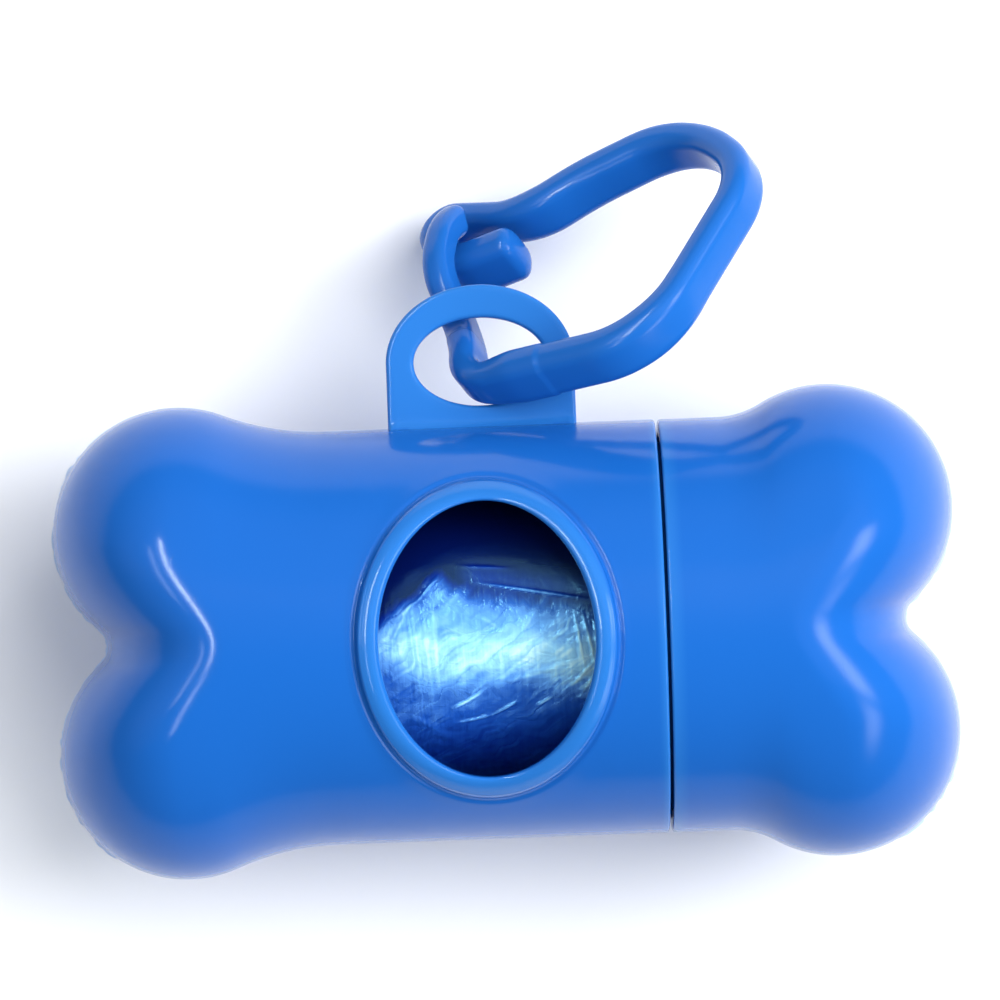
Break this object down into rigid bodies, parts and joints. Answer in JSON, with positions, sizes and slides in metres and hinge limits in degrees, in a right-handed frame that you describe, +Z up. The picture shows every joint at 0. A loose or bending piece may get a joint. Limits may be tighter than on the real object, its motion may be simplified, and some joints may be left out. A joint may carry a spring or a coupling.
{
  "type": "dog waste bag dispenser",
  "caption": "Bone-shaped dispenser for rolled waste bags, with an oval dispensing hole, a screw-on end cap and a moulded snap clip through the eye of its tab.",
  "frame": {"origin": "middle of the part's box, on the surface it lies on", "axes": "+X along the bone, towards the screw-on cap; +Y from the bone towards the tab and clip; +Z up, out of the dispensing hole"},
  "size_m": [0.084, 0.0688, 0.0396],
  "materials": {
    "bone_plastic": "glossy moulded blue polypropylene",
    "clip_plastic": "glossy moulded blue acetal",
    "bag_film": "thin creased blue polyethylene film",
    "card": "wound grey-brown card"
  },
  "bodies": {
    "body": {"bone_body": "bone_plastic"},
    "cap": {"end_cap": "bone_plastic"},
    "roll": {"roll_core": "card", "bag_01": "bag_film", "bag_02": "bag_film", "bag_03": "bag_film", "bag_04": "bag_film", "bag_05": "bag_film", "bag_06": "bag_film", "bag_07": "bag_film", "bag_08": "bag_film", "bag_09": "bag_film", "bag_10": "bag_film", "bag_11": "bag_film", "bag_12": "bag_film", "bag_13": "bag_film", "bag_14": "bag_film", "bag_15": "bag_film"},
    "clip": {"clip_hook": "clip_plastic"},
    "gate": {"clip_gate": "clip_plastic"}
  },
  "joints": [
    {"name": "cap_slide", "type": "slide", "parent": "body", "child": "cap", "axis": [1, 0, 0], "range_m": [0, 0.06]},
    {"name": "roll_spin", "type": "hinge", "parent": "body", "child": "roll", "pos_m": [0, -0.01231, 0.0184], "axis": [1, 0, 0], "continuous": true},
    {"name": "clip_swing", "type": "hinge", "parent": "body", "child": "clip", "pos_m": [-0.0016, 0.01299, 0.0193], "axis": [0, 0, 1], "range_deg": [-25, 85]},
    {"name": "clip_gate_flex", "type": "hinge", "parent": "clip", "child": "gate", "pos_m": [-0.00385, 0.01592, 0.01759], "axis": [0.868, 0.4356, 0.2382], "range_deg": [0, 20], "stiffness_Nm_per_rad": 0.1}
  ]
}
